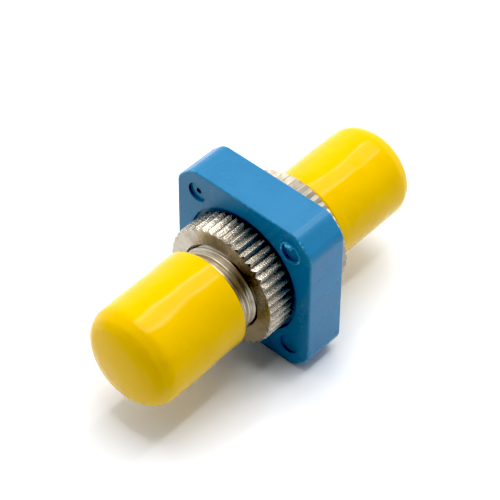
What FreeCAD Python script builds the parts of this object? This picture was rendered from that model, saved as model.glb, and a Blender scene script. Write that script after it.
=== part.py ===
"""ST fibre adapter: threaded barrel, square flange, two knurled nuts and a dust cap on each end.

Origin: on the barrel's axis, in the middle plane of the flange. +Y runs along the barrel towards the rear,
+Z is up, and the flange stands on its lower edge. Lengths are in millimetres and angles in degrees.
A piece that both ends have is drawn for the rear end, pointing along +Y, and the front one is turned half a
turn about the vertical.
"""
import FreeCAD
import Part
import Sketcher

import os
import re

# Sizes that can be set by themselves.
SIZES = {
    # Flange: a moulded plate, sized by the borders it leaves around the nuts' recesses.
    "flange_thickness": 5.0,
    "flange_side_border": 1.7,
    "flange_top_border": 2.1,
    "corner_cut": 1.95,
    "corner_round": 0.5,
    "flange_edge_bevel": 0.25,
    "recess_depth": 0.4,
    "recess_gap": 0.35,
    "barrel_hole_gap": 0.1,
    "mark_diameter": 2.3,
    "mark_depth": 0.3,
    "mark_inset": 2.7,
    "gate_diameter": 0.65,
    "gate_depth": 0.5,
    # Knurled nuts: each is turned to where it happened to come up tight.
    "nut_diameter": 13.9,
    "nut_thickness": 3.7,
    "nut_edge": 0.2,
    "nut_seat_edge": 0.5,
    "nut_countersink": 0.2,
    "nut_thread_gap": 0.05,
    "knurl_teeth": 45,
    "knurl_depth": 0.35,
    "knurl_land": 0.06,
    "front_nut_turn": 5.65,
    "rear_nut_turn": 3.0,
    # Barrel: threaded in the middle, with a plain bayonet end on each side.
    "thread_diameter": 9.525,
    "thread_reach": 4.7,
    "bayonet_length": 7.0,
    "bayonet_step": 0.76,
    "barrel_edge": 0.3,
    "socket_floor": 0.2,
    "keyway_width": 1.1,
    "keyway_length": 4.5,
    # Bayonet pins, pressed into the barrel.
    "pin_diameter": 1.6,
    "pin_from_end": 3.5,
    "pin_tip_drop": 0.1,
    "pin_setback": 0.1,
    "pin_edge": 0.2,
    "press_bite": 0.01,
    # Alignment sleeve and the two bushes that hold it.
    "sleeve_bore": 2.5,
    "sleeve_wall": 0.35,
    "sleeve_length": 11.4,
    "sleeve_slit": 0.4,
    "sleeve_gap": 0.05,
    "sleeve_float": 0.05,
    "holder_wall": 0.45,
    "holder_lip": 0.8,
    "holder_bore_gap": 0.2,
    "holder_lead": 0.4,
    "holder_seat": 0.25,
    "holder_shoulder": 0.2,
    "holder_shoulder_gap": 0.03,
    "holder_middle_gap": 0.1,
    # Dust caps: soft dipped caps differ and are pushed on by hand, so each has its own wall and seat.
    "cap_gap": 0.04,
    "cap_end_wall": 1.1,
    "cap_end_round": 3.0,
    "cap_floor_bevel": 1.2,
    "cap_rim_bevel": 0.2,
    "front_cap_wall": 0.9,
    "rear_cap_wall": 0.55,
    "front_thread_show": 2.15,
    "rear_thread_show": 0.9,
    "front_cap_air": 2.2,
    "rear_cap_air": 0.6,
}

# Sizes that follow from the ones above.
DERIVED = {
    "flange_half": "flange_thickness / 2",
    "nut_radius": "nut_diameter / 2",
    "recess_radius": "nut_radius + recess_gap",
    "flange_right": "recess_radius + flange_side_border",
    "flange_top": "recess_radius + flange_top_border",
    "thread_radius": "thread_diameter / 2",
    "barrel_hole_radius": "thread_radius + barrel_hole_gap",
    "mark_x": "flange_right - mark_inset",
    "mark_z": "flange_top - mark_inset",
    "nut_seat": "flange_half - recess_depth",
    "nut_face": "nut_seat + nut_thickness",
    "nut_bore_radius": "thread_radius + nut_thread_gap",
    "knurl_root": "nut_radius - knurl_depth",
    "groove_half": "(pi * nut_diameter / knurl_teeth - knurl_land) / 2",
    "thread_end": "nut_face + thread_reach",
    "barrel_end": "thread_end + bayonet_length",
    "bayonet_radius": "thread_radius - bayonet_step",
    "sleeve_inner": "sleeve_bore / 2",
    "sleeve_outer": "sleeve_inner + sleeve_wall",
    "pocket_radius": "sleeve_outer + sleeve_gap",
    "pocket_end": "sleeve_length / 2 + sleeve_float",
    "holder_radius": "pocket_radius + holder_wall",
    "holder_start": "holder_middle_gap / 2",
    "holder_end": "pocket_end + holder_lip",
    "web_end": "pocket_end - holder_seat",
    "shoulder_seat": "holder_radius + holder_shoulder",
    "socket_radius": "shoulder_seat + socket_floor",
    "pin_radius": "pin_diameter / 2",
    "pin_place": "barrel_end - pin_from_end",
    "pin_tip": "thread_radius - pin_tip_drop",
    "pin_root": "socket_radius + pin_setback",
    "cap_bore": "thread_radius + cap_gap",
    "front_cap_rim": "nut_face + front_thread_show",
    "rear_cap_rim": "nut_face + rear_thread_show",
    "front_cap_floor": "barrel_end + front_cap_air",
    "rear_cap_floor": "barrel_end + rear_cap_air",
}

ENDS = ("front", "rear")
SIDES = ("left", "right")
HALF_TURN = FreeCAD.Rotation(FreeCAD.Vector(0, 0, 1), 180)
NO_TURN = FreeCAD.Rotation()
NEAR = 1e-6
ON_AXIS = ("0", "0")

doc = FreeCAD.newDocument("fibre_adapter")
sheet = doc.addObject("Spreadsheet::Sheet", "sizes")


def fill_sheet():
    """Writes the driving sizes as numbers and the derived ones as formulas, one row each."""
    formulas = {name: "=" + formula for name, formula in DERIVED.items()}
    cells = {name: str(value) for name, value in SIZES.items()} | formulas
    for row, (name, text) in enumerate(cells.items(), start=1):
        sheet.set(f"A{row}", name)
        sheet.set(f"B{row}", text)
        sheet.setAlias(f"B{row}", name)
    doc.recompute()


def bound(formula):
    """Turns a formula on cell names, such as '-nut_face', into an expression on the sheet."""
    return re.sub(r"[a-z]\w*", lambda name: "sizes." + name.group(), formula)


def new_body(label):
    """Starts a named piece."""
    body = doc.addObject("PartDesign::Body", label)
    body.Label = label
    return body


def new_sketch(body, name, plane):
    """Adds a sketch on one of the body's own origin planes."""
    sketch = body.newObject("Sketcher::SketchObject", name)
    support = next(item for item in body.Origin.OriginFeatures if item.Role == plane)
    sketch.AttachmentSupport = (support, [""])
    sketch.MapMode = "FlatFace"
    return sketch


def place_point(sketch, geometry, point, where):
    """Ties a point of a sketch to a pair of formulas, measured from the sketch's origin."""
    for kind, formula in zip(("DistanceX", "DistanceY"), where):
        value = float(sketch.evalExpression(bound(formula)))
        index = sketch.addConstraint(Sketcher.Constraint(kind, -1, 1, geometry, point, value))
        sketch.setExpression(f"Constraints[{index}]", bound(formula))


def add_polygon(sketch, points):
    """Draws a closed outline with straight sides through points given as pairs of formulas."""
    corners = [
        FreeCAD.Vector(*(float(sketch.evalExpression(bound(formula))) for formula in point), 0)
        for point in points
    ]
    first = sketch.GeometryCount
    count = len(points)
    for index in range(count):
        sketch.addGeometry(Part.LineSegment(corners[index], corners[(index + 1) % count]))
    for index in range(count):
        following = first + (index + 1) % count
        sketch.addConstraint(Sketcher.Constraint("Coincident", first + index, 2, following, 1))
    for index, point in enumerate(points):
        place_point(sketch, first + index, 1, point)


def add_circle(sketch, centre, radius):
    """Draws a circle with its centre and radius given as formulas."""
    value = float(sketch.evalExpression(bound(radius)))
    circle = sketch.addGeometry(Part.Circle(FreeCAD.Vector(), FreeCAD.Vector(0, 0, 1), value))
    index = sketch.addConstraint(Sketcher.Constraint("Radius", circle, value))
    sketch.setExpression(f"Constraints[{index}]", bound(radius))
    place_point(sketch, circle, 3, centre)


def revolve(body, sketch, axis="V_Axis"):
    """Turns a profile about one of its sketch's axes."""
    turned = body.newObject("PartDesign::Revolution", sketch.Name + "_turned")
    turned.Profile = sketch
    turned.ReferenceAxis = (sketch, [axis])
    turned.Angle = 360
    sketch.Visibility = False
    doc.recompute()


def pad(body, sketch, length):
    """Extrudes a profile to both sides of its sketch, length in all."""
    block = body.newObject("PartDesign::Pad", sketch.Name + "_pad")
    block.Profile = sketch
    block.Midplane = True
    block.setExpression("Length", bound(length))
    doc.recompute()


def cut(body, sketch, length=None, both_ways=False, reverse=False):
    """Cuts a profile out of the body, right through unless a length is given.

    A pocket that points away from the solid removes nothing, so the volume is compared.
    """
    before = body.Shape.Volume
    pocket = body.newObject("PartDesign::Pocket", sketch.Name + "_cut")
    pocket.Profile = sketch
    pocket.Midplane = both_ways
    pocket.Reversed = reverse
    if length is None:
        pocket.Type = "ThroughAll"
    else:
        pocket.setExpression("Length", bound(length))
    doc.recompute()
    if body.Shape.Volume > before - NEAR:
        raise RuntimeError(f"{pocket.Name} removes nothing from {body.Label}")
    return pocket


def wanted_edges(base, wanted):
    """Names each edge of a feature that the test picks."""
    return [f"Edge{index}" for index, edge in enumerate(base.Shape.Edges, start=1) if wanted(edge)]


def round_edges(body, name, radius, wanted):
    """Rounds each edge of the body's last feature that the test picks."""
    base = body.Tip
    fillet = body.newObject("PartDesign::Fillet", name)
    fillet.Base = (base, wanted_edges(base, wanted))
    fillet.setExpression("Radius", bound(radius))
    doc.recompute()


def bevel_edges(body, name, width, wanted):
    """Bevels each edge of the body's last feature that the test picks, at equal distances."""
    base = body.Tip
    chamfer = body.newObject("PartDesign::Chamfer", name)
    chamfer.Base = (base, wanted_edges(base, wanted))
    chamfer.setExpression("Size", bound(width))
    doc.recompute()


def size(name):
    """Reads one cell of the sheet."""
    return float(sheet.get(name))


def is_ring(edge, radius, place):
    """Tells whether an edge is a circle of this radius around the barrel, at this place along it."""
    if not isinstance(edge.Curve, Part.Circle):
        return False
    return abs(edge.Curve.Radius - radius) < NEAR and abs(edge.Curve.Center.y - place) < NEAR


def turn_to_end(body, end):
    """Leaves a piece at the rear, or turns it to the front."""
    body.Placement.Rotation = HALF_TURN if end == "front" else NO_TURN


def flange():
    """Moulded plate with cut corners, a recess for each nut and shallow ejector marks on its front."""
    body = new_body("flange")
    outline = new_sketch(body, "flange_outline", "XZ_Plane")
    corners = []
    for across, up in ((1, 1), (-1, 1), (-1, -1), (1, -1)):
        x_sign = "-" if across < 0 else ""
        z_sign = "-" if up < 0 else ""
        on_side = (f"{x_sign}flange_right", f"{z_sign}(flange_top - corner_cut)")
        on_edge = (f"{x_sign}(flange_right - corner_cut)", f"{z_sign}flange_top")
        corners += [on_side, on_edge] if across == up else [on_edge, on_side]
    add_polygon(outline, corners)
    pad(body, outline, "flange_thickness")

    half = size("flange_half")
    round_edges(body, "flange_corners", "corner_round", lambda edge: edge.BoundBox.YLength > half)
    bevel_edges(body, "flange_rims", "flange_edge_bevel", lambda edge: edge.BoundBox.YLength < half)

    hole = new_sketch(body, "barrel_hole", "XZ_Plane")
    add_circle(hole, ON_AXIS, "barrel_hole_radius")
    cut(body, hole, both_ways=True)
    for end, side in (("front", ""), ("rear", "-")):
        recess = new_sketch(body, f"{end}_recess", "XZ_Plane")
        recess.setExpression("AttachmentOffset.Base.z", bound(f"{side}flange_half"))
        add_circle(recess, ON_AXIS, "recess_radius")
        cut(body, recess, "recess_depth", reverse=end == "rear")

    marks = new_sketch(body, "ejector_marks", "XZ_Plane")
    marks.setExpression("AttachmentOffset.Base.z", bound("flange_half"))
    for x in ("mark_x", "-mark_x"):
        for z in ("mark_z", "-mark_z"):
            add_circle(marks, (x, z), "mark_diameter / 2")
    cut(body, marks, "mark_depth")
    gate = new_sketch(body, "gate_mark", "XZ_Plane")
    gate.setExpression("AttachmentOffset.Base.z", bound("flange_half"))
    add_circle(gate, ("-mark_x", "mark_z"), "gate_diameter / 2")
    cut(body, gate, "gate_depth")
    return body


def barrel():
    """Turned tube: threaded middle, bayonet ends with keyways, stepped bores for the plugs and the sleeve."""
    body = new_body("barrel")
    section = new_sketch(body, "barrel_section", "XY_Plane")
    rear_half = [
        ("thread_radius", "thread_end - bayonet_step"),
        ("bayonet_radius", "thread_end"),
        ("bayonet_radius", "barrel_end - barrel_edge"),
        ("bayonet_radius - barrel_edge", "barrel_end"),
        ("socket_radius + barrel_edge", "barrel_end"),
        ("socket_radius", "barrel_end - barrel_edge"),
        ("socket_radius", "holder_end"),
        ("shoulder_seat", "holder_end"),
        ("shoulder_seat", "web_end"),
        ("holder_radius", "web_end"),
    ]
    front_half = [(radius, f"-({place})") for radius, place in reversed(rear_half)]
    add_polygon(section, rear_half + front_half)
    revolve(body, section)

    keyways = new_sketch(body, "keyways", "XY_Plane")
    for sign in ("-", ""):
        inner = f"{sign}(barrel_end - keyway_length)"
        outer = f"{sign}(barrel_end + barrel_edge)"
        add_polygon(keyways, [
            ("-keyway_width / 2", inner),
            ("keyway_width / 2", inner),
            ("keyway_width / 2", outer),
            ("-keyway_width / 2", outer),
        ])
    cut(body, keyways, reverse=True)
    pin_holes = new_sketch(body, "pin_holes", "YZ_Plane")
    for place in ("-pin_place", "pin_place"):
        add_circle(pin_holes, (place, "0"), "pin_radius")
    cut(body, pin_holes, both_ways=True)
    return body


def bayonet_pin(end, side):
    """Pressed pin that stands out of the bayonet end to just under the thread's crest."""
    body = new_body(f"{end}_{side}_bayonet_pin")
    section = new_sketch(body, f"{end}_{side}_pin_section", "XY_Plane")
    shank = "(pin_radius + press_bite)"
    add_polygon(section, [
        ("pin_root", "0"),
        ("pin_tip", "0"),
        ("pin_tip", f"{shank} - pin_edge"),
        ("pin_tip - pin_edge", shank),
        ("pin_root", shank),
    ])
    revolve(body, section, "H_Axis")
    body.Placement.Rotation = HALF_TURN if side == "left" else NO_TURN
    body.setExpression("Placement.Base.y", bound("-pin_place" if end == "front" else "pin_place"))
    return body


def sleeve_holder(end):
    """Flanged bush, pressed into the barrel's web, that keeps one end of the alignment sleeve in."""
    body = new_body(f"{end}_sleeve_holder")
    section = new_sketch(body, f"{end}_holder_section", "XY_Plane")
    bore = "(sleeve_inner + holder_bore_gap)"
    add_polygon(section, [
        ("pocket_radius", "holder_start"),
        ("holder_radius + press_bite", "holder_start"),
        ("holder_radius + press_bite", "web_end"),
        ("shoulder_seat - holder_shoulder_gap", "web_end"),
        ("shoulder_seat - holder_shoulder_gap", "holder_end"),
        (f"{bore} + holder_lead", "holder_end"),
        (bore, "holder_end - holder_lead"),
        (bore, "pocket_end"),
        ("pocket_radius", "pocket_end"),
    ])
    revolve(body, section)
    turn_to_end(body, end)
    return body


def split_sleeve():
    """Ceramic tube with one slit along its top, which lines the two ferrules up."""
    body = new_body("split_sleeve")
    ring = new_sketch(body, "sleeve_ring", "XZ_Plane")
    for radius in ("sleeve_outer", "sleeve_inner"):
        add_circle(ring, ON_AXIS, radius)
    pad(body, ring, "sleeve_length")
    slit = new_sketch(body, "sleeve_slit_outline", "XY_Plane")
    add_polygon(slit, [
        ("-sleeve_slit / 2", "-sleeve_length"),
        ("sleeve_slit / 2", "-sleeve_length"),
        ("sleeve_slit / 2", "sleeve_length"),
        ("-sleeve_slit / 2", "sleeve_length"),
    ])
    cut(body, slit, reverse=True)
    return body


def knurled_nut(end):
    """Round nut with bevelled ends, a countersunk bore and a straight knurl of vee grooves."""
    body = new_body(f"{end}_knurled_nut")
    section = new_sketch(body, f"{end}_nut_section", "XY_Plane")
    add_polygon(section, [
        ("nut_bore_radius + nut_countersink", "nut_seat"),
        ("nut_radius - nut_seat_edge", "nut_seat"),
        ("nut_radius", "nut_seat + nut_seat_edge"),
        ("nut_radius", "nut_face - nut_edge"),
        ("nut_radius - nut_edge", "nut_face"),
        ("nut_bore_radius + nut_countersink", "nut_face"),
        ("nut_bore_radius", "nut_face - nut_countersink"),
        ("nut_bore_radius", "nut_seat + nut_countersink"),
    ])
    revolve(body, section)

    groove = new_sketch(body, f"{end}_knurl_groove", "XZ_Plane")
    groove.setExpression("AttachmentOffset.Rotation.Angle", bound(f"{end}_nut_turn"))
    add_polygon(groove, [
        ("0", "knurl_root"),
        ("2 * groove_half", "knurl_root + 2 * knurl_depth"),
        ("-2 * groove_half", "knurl_root + 2 * knurl_depth"),
    ])
    groove_cut = cut(body, groove, both_ways=True)
    knurl = body.newObject("PartDesign::PolarPattern", f"{end}_knurl")
    knurl.Originals = [groove_cut]
    knurl.Axis = (groove, ["N_Axis"])
    knurl.Angle = 360
    knurl.setExpression("Occurrences", bound("knurl_teeth"))
    body.Tip = knurl
    turn_to_end(body, end)
    return body


def dust_cap(end):
    """Soft cap with a rounded closed end, which slips over the thread and the bayonet end."""
    body = new_body(f"{end}_dust_cap")
    section = new_sketch(body, f"{end}_cap_section", "XY_Plane")
    outside = f"cap_bore + {end}_cap_wall"
    floor = f"{end}_cap_floor"
    add_polygon(section, [
        ("cap_bore", f"{end}_cap_rim"),
        (outside, f"{end}_cap_rim"),
        (outside, f"{floor} + cap_end_wall"),
        ("0", f"{floor} + cap_end_wall"),
        ("0", floor),
        ("cap_bore", floor),
    ])
    revolve(body, section)
    inner = size("cap_bore")
    outer = inner + size(f"{end}_cap_wall")
    bottom = size(floor)
    tip = bottom + size("cap_end_wall")
    rim = size(f"{end}_cap_rim")
    round_edges(body, f"{end}_cap_end", "cap_end_round", lambda edge: is_ring(edge, outer, tip))
    bevel_edges(body, f"{end}_cap_floor_edge", "cap_floor_bevel", lambda edge: is_ring(edge, inner, bottom))
    bevel_edges(body, f"{end}_cap_lip", "cap_rim_bevel", lambda edge: is_ring(edge, outer, rim))
    turn_to_end(body, end)
    return body


def check(pieces):
    """Stops if any object of the document failed, or a piece is empty or not valid."""
    for item in doc.Objects:
        if "Invalid" in item.State or "Error" in item.State:
            raise RuntimeError(f"{item.Name} failed: {item.State}")
    for piece in pieces:
        if piece.Shape.isNull() or not piece.Shape.isValid():
            raise RuntimeError(f"{piece.Label} has no valid shape")


fill_sheet()
parts = [flange(), barrel(), split_sleeve()]
for end in ENDS:
    parts += [sleeve_holder(end), knurled_nut(end), dust_cap(end)]
    parts += [bayonet_pin(end, side) for side in SIDES]
doc.recompute()
check(parts)

os.makedirs("parts", exist_ok=True)
for part in parts:
    part.Shape.exportStep(f"parts/{part.Label}.step")
    box = part.Shape.optimalBoundingBox()
    print(f"{part.Label}: {part.Shape.Volume:.2f} mm3, {len(part.Shape.Solids)} solid, "
          f"x {box.XMin:.2f} to {box.XMax:.2f}, y {box.YMin:.2f} to {box.YMax:.2f}, "
          f"z {box.ZMin:.2f} to {box.ZMax:.2f}")
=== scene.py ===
"""Dresses the packed fibre adapter: blue flange, nickel barrel and nuts, yellow caps, and what they hide.

Pieces are modelled in millimetres, in the part's own frame: +Y along the barrel to the rear, +Z up, the
origin on the barrel's axis in the middle of the flange. Each piece is brought to metres when it is done.
"""

import logging
import math
from collections.abc import Callable, Sequence
from dataclasses import dataclass
from enum import Enum
from typing import Any

import bmesh
import bpy
from mathutils import Matrix, Vector


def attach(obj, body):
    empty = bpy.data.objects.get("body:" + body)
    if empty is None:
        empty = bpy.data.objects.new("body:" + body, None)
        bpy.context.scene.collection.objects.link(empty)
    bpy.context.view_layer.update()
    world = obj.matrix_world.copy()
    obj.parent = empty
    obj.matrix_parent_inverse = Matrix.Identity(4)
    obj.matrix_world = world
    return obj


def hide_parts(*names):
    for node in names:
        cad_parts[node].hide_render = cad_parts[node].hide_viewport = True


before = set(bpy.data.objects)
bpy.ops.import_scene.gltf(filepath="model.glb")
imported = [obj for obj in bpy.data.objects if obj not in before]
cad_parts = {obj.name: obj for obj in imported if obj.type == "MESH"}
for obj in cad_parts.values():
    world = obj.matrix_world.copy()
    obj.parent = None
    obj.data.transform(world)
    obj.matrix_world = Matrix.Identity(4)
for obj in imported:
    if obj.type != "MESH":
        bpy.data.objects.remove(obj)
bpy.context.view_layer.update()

log = logging.getLogger("adapter")

MM = 0.001
FULL_TURN = 2.0 * math.pi
QUARTER_TURN = 0.5 * math.pi
SMOOTH_ANGLE = 35.0
# In millimetres: points nearer than the gap are one point, and a tool runs this far past what it cuts.
MERGE_GAP = 0.0005
OVERRUN = 1.0
# Nearly all of a noise lies in its span. A wave texture of scale 1 draws one ring in its length.
NOISE_SPAN = (0.3, 0.7)
FULL_SPAN = (0.0, 1.0)
WAVE_LENGTH = FULL_TURN / 20.0
# A Mix node's sockets go by number, because those for colours and for numbers have the same names.
SHARE = 0
BASE, TOP, MIXED = 6, 7, 2
BASE_NUMBER, TOP_NUMBER, MIXED_NUMBER = 2, 3, 0
EDGE_WEAR = "edge_wear"
KNURL_GRIME_SHADE = "knurl_depth"

Shape = bpy.types.Object
Socket = bpy.types.NodeSocket
Tree = bpy.types.NodeTree
Span = tuple[float, float]
Triple = tuple[float, float, float]
Outline = list[tuple[float, float]]
Test = Callable[[list[Vector]], bool]
Values = tuple[tuple[str, Any], ...]


class Pick(Enum):
    """What a selection in edit mode takes."""

    POINTS = "VERT"
    EDGES = "EDGE"


class Cut(Enum):
    """What one shape does to another."""

    AWAY = "DIFFERENCE"
    COMMON = "INTERSECT"
    TOGETHER = "UNION"


class Axis(Enum):
    """The line that a piece is turned round."""

    ALONG_BARREL = (0.0, 1.0, 0.0)
    ACROSS_BARREL = (1.0, 0.0, 0.0)


class Way(Enum):
    """A way to face, as the sign of an axis there."""

    @property
    def word(self) -> str:
        """The way's name as the nodes spell it."""
        return self.name.lower()


class End(Way):
    """The two ends of the barrel, along Y."""

    FRONT = -1
    REAR = 1


class Side(Way):
    """The two sides of the barrel, along X."""

    LEFT = -1
    RIGHT = 1


class Machining(Enum):
    """How a metal surface was made."""

    TURNED = "turned"
    KNURLED = "knurled"


class Mark(Enum):
    """What stands out from a surface."""

    LUMPS = "NOISE"
    RINGS = "RINGS"
    LINES = "BANDS"


class Octaves(Enum):
    """How many ever finer noises a noise is made of, past its first."""

    SMOOTH = 1.0
    EVEN = 2.0
    BUSY = 3.0
    MOTTLED = 4.0


def linear(hex_colour: str) -> tuple[float, float, float, float]:
    """Turns an sRGB hex colour into the linear one that shaders take.

    Args:
        hex_colour: Six hex digits after a hash sign.

    Returns:
        Linear red, green and blue, with full alpha.
    """
    digits = hex_colour.lstrip("#")
    channels = [int(digits[i : i + 2], 16) / 255.0 for i in (0, 2, 4)]
    red, green, blue = (c / 12.92 if c <= 0.04045 else ((c + 0.055) / 1.055) ** 2.4 for c in channels)
    return red, green, blue, 1.0


def add_node(
    tree: Tree, kind: str, inputs: dict[str | int, Any] | Sequence[Any] = (), **settings: Any
) -> bpy.types.Node:
    """Adds a node with its settings and links.

    Args:
        tree: The node tree that takes it.
        kind: The node's type name.
        inputs: Values for its sockets, or outputs to link there, by the socket's name or number, or as a list
            that begins at the first socket.
        **settings: Options of the node.

    Returns:
        The new node.
    """
    node = tree.nodes.new(kind)
    for name, value in settings.items():
        setattr(node, name, value)
    sockets = inputs if isinstance(inputs, dict) else dict(enumerate(inputs))
    for key, value in sockets.items():
        if isinstance(value, Socket):
            tree.links.new(value, node.inputs[key])
        else:
            node.inputs[key].default_value = value
    return node


@dataclass(frozen=True)
class Pattern:
    """A pattern on a surface: the lumps of a noise, or the rings or lines that a tool leaves.

    Its size is a lump's width, or how far apart the rings or lines lie.
    """

    size_mm: float
    octaves: Octaves = Octaves.EVEN
    mark: Mark = Mark.LUMPS
    wander: float = 0.0

    def add(self, tree: Tree, place: Socket) -> Socket:
        """Adds the pattern.

        Args:
            tree: The material's node tree.
            place: The coordinates that the pattern reads.

        Returns:
            How high it is at each place, from 0 to 1.
        """
        size = self.size_mm * MM
        inputs = {"Vector": place, "Detail": self.octaves.value}
        if self.mark is Mark.LUMPS:
            return add_node(tree, "ShaderNodeTexNoise", inputs | {"Scale": 1.0 / size}).outputs["Fac"]
        marks = add_node(
            tree,
            "ShaderNodeTexWave",
            inputs | {"Scale": WAVE_LENGTH / size, "Distortion": self.wander},
            wave_type=self.mark.value,
            rings_direction="Y",
            bands_direction="Y",
        )
        return marks.outputs["Fac"]


@dataclass(frozen=True, kw_only=True)
class Relief(Pattern):
    """A pattern that stands out from a surface."""

    depth_mm: float
    strength: float = 1.0


Reliefs = tuple[Relief, ...]


@dataclass(frozen=True)
class Finish:
    """A surface finish: what the material is and how its surface was made.

    Its colour and its roughness run between two values in the clouds of a noise. The constants are the
    shader's values that are the same all over the surface, by the names of their sockets.
    """

    name: str
    colour: str
    cloud_colour: str
    cloud: Pattern
    roughness: Span
    constants: Values
    rough_span: Span = NOISE_SPAN
    reliefs: Reliefs = ()

    def spread(self, tree: Tree, cloud: Socket) -> Socket:
        """The cloud colour's share at each place, which here is the cloud's own height."""
        return cloud

    def add_looks(self, tree: Tree, place: Socket) -> dict[str, Any]:
        """Adds the clouds and the reliefs.

        Args:
            tree: The material's node tree.
            place: The coordinates that the patterns read.

        Returns:
            What goes into the shader's sockets, by their names.
        """
        cloud = self.cloud.add(tree, place)
        colour = add_node(
            tree,
            "ShaderNodeMix",
            {SHARE: self.spread(tree, cloud), BASE: linear(self.colour), TOP: linear(self.cloud_colour)},
            data_type="RGBA",
        )
        looks = {"Base Color": colour.outputs[MIXED], "Roughness": self.roughness[0]}
        if self.roughness[0] != self.roughness[1]:
            sheen = add_node(tree, "ShaderNodeMapRange", [cloud, *self.rough_span, *self.roughness])
            looks["Roughness"] = sheen.outputs["Result"]
        for relief in self.reliefs:
            bump = {"Strength": relief.strength, "Distance": relief.depth_mm * MM}
            bump["Height"] = relief.add(tree, place)
            if "Normal" in looks:
                bump["Normal"] = looks["Normal"]
            looks["Normal"] = add_node(tree, "ShaderNodeBump", bump).outputs["Normal"]
        return looks

    def material(self) -> bpy.types.Material:
        """Makes the finish's node material, once.

        Returns:
            The material, whose patterns read the piece's own Object coordinates.
        """
        found = bpy.data.materials.get(self.name)
        if found:
            return found
        material = bpy.data.materials.new(self.name)
        material.use_nodes = True
        tree = material.node_tree
        tree.nodes.clear()
        place = add_node(tree, "ShaderNodeTexCoord").outputs["Object"]
        looks = dict(self.constants) | self.add_looks(tree, place)
        shader = add_node(tree, "ShaderNodeBsdfPrincipled", looks)
        add_node(tree, "ShaderNodeOutputMaterial", {"Surface": shader.outputs["BSDF"]})
        return material


@dataclass(frozen=True)
class MouldedNylon(Finish):
    """Injection-moulded blue nylon: a semi-gloss skin with faint flow marks, rubbed pale at its edges."""

    # To the eye: an even blue with soft, blurred highlights, pale worn flecks along the cut corners, and pale
    # flecks on the flash that are partly a painted highlight.
    name: str = "moulded_blue_nylon"
    colour: str = "#206A96"
    cloud_colour: str = "#2079A8"
    cloud: Pattern = Pattern(4.0, Octaves.BUSY)
    roughness: Span = (0.24, 0.32)
    constants: Values = (("IOR", 1.53), ("Specular IOR Level", 0.26))
    # The second relief is the skin's fine grain, drawn coarse enough for the render to show it.
    reliefs: Reliefs = (
        Relief(6.0, Octaves.SMOOTH, depth_mm=0.1, strength=0.35),
        Relief(0.22, Octaves.EVEN, depth_mm=0.02, strength=0.12),
    )
    rubbed_colour: str = "#62BEE0"
    rub: Pattern = Pattern(0.4)
    rub_span: Span = (0.5, 0.66)
    rub_share: Span = (0.1, 0.8)

    def add_looks(self, tree: Tree, place: Socket) -> dict[str, Any]:
        """Adds the clouds and the reliefs, and rubs the worn edges pale in flecks.

        Args:
            tree: The material's node tree.
            place: The coordinates that the patterns read.

        Returns:
            What goes into the shader's sockets, by their names.
        """
        looks = super().add_looks(tree, place)
        rub = self.rub.add(tree, place)
        flecks = add_node(tree, "ShaderNodeMapRange", [rub, *self.rub_span, *self.rub_share])
        edges = add_node(tree, "ShaderNodeAttribute", attribute_name=EDGE_WEAR)
        worn = add_node(
            tree, "ShaderNodeMath", [edges.outputs["Fac"], flecks.outputs["Result"]], operation="MULTIPLY"
        )
        colour = add_node(
            tree,
            "ShaderNodeMix",
            {SHARE: worn.outputs["Value"], BASE: looks["Base Color"], TOP: linear(self.rubbed_colour)},
            data_type="RGBA",
        )
        return looks | {"Base Color": colour.outputs[MIXED]}


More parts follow.
